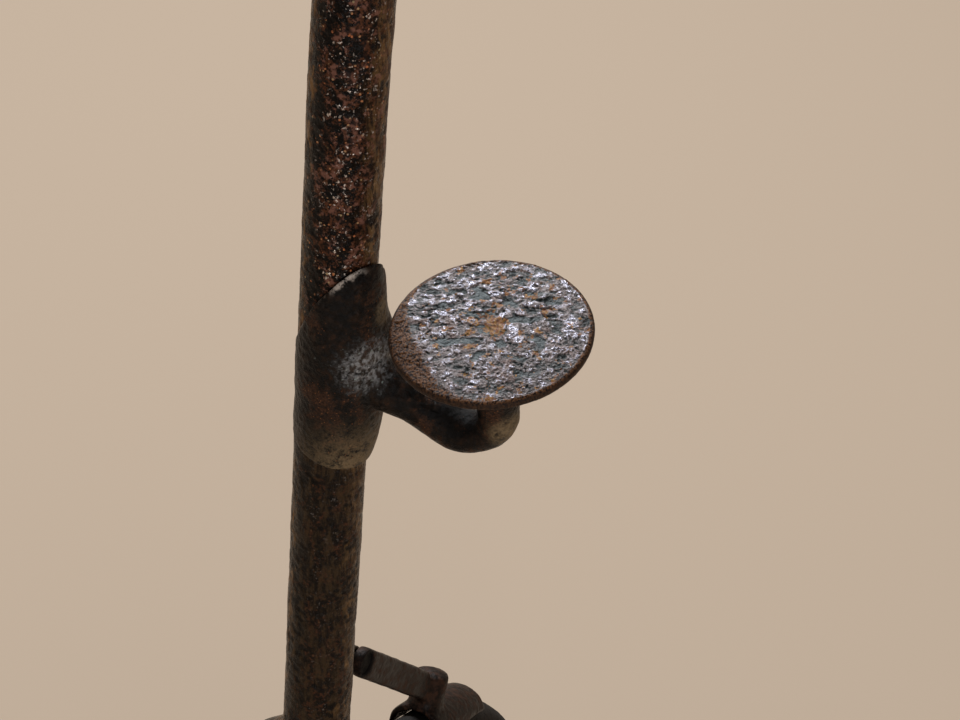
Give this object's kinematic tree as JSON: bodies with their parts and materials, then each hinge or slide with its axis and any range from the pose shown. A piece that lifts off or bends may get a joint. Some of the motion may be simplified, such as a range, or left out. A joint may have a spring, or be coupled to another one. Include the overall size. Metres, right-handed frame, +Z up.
{
  "type": "velocipede backbone with trailing wheel",
  "caption": "Curved tapered backbone of a high-wheel velocipede with steering spindle, round mounting step, rear fork, spoon brake and solid-tyred trailing wheel.",
  "frame": {"origin": "middle of the steering spindle's lower journal, on the steering axis", "axes": "+X forward as ridden, +Y to the rider's left, +Z up, the trailing wheel on level ground"},
  "size_m": [0.8764, 0.1487, 1.3698],
  "materials": {
    "frame_iron": "pitted dark iron, remains of black enamel over brown rust",
    "step_iron": "deeply pitted bare iron, dark grey with brown rust at the rim",
    "brake_iron": "dark brown rusted iron",
    "wheel_iron": "dark rusted iron",
    "bearing_steel": "turned steel, browned and dull",
    "tyre_rubber": "old hard rubber, cracked and dirty"
  },
  "bodies": {
    "frame": {"steering_spindle": "bearing_steel", "neck": "frame_iron", "backbone_tube": "frame_iron", "step_bracket": "frame_iron", "step_plate": "step_iron", "step_rivet": "step_iron", "axle": "bearing_steel", "axle_cone_left": "bearing_steel", "axle_washer_left": "bearing_steel", "axle_nut_left": "bearing_steel", "fork_end_left": "frame_iron", "axle_cone_right": "bearing_steel", "axle_washer_right": "bearing_steel", "axle_nut_right": "bearing_steel", "fork_end_right": "frame_iron", "fork_crown": "frame_iron", "fork_blade_left": "frame_iron", "fork_blade_right": "frame_iron", "brake_lug": "frame_iron", "brake_pin": "bearing_steel"},
    "trailing_wheel": {"tyre": "tyre_rubber", "rim": "wheel_iron", "spokes": "wheel_iron", "hub": "wheel_iron"},
    "brake": {"brake_arm": "brake_iron", "brake_shoe": "brake_iron", "brake_rivet": "brake_iron"}
  },
  "joints": [
    {"name": "trailing_wheel_spin", "type": "hinge", "parent": "frame", "child": "trailing_wheel", "pos_m": [-0.67683, 0, -1.09893], "axis": [0, 1, 0], "continuous": true},
    {"name": "brake_swing", "type": "hinge", "parent": "frame", "child": "brake", "pos_m": [-0.6406, 0, -0.85486], "axis": [0, 1, 0], "range_deg": [-15, 1.2]}
  ]
}
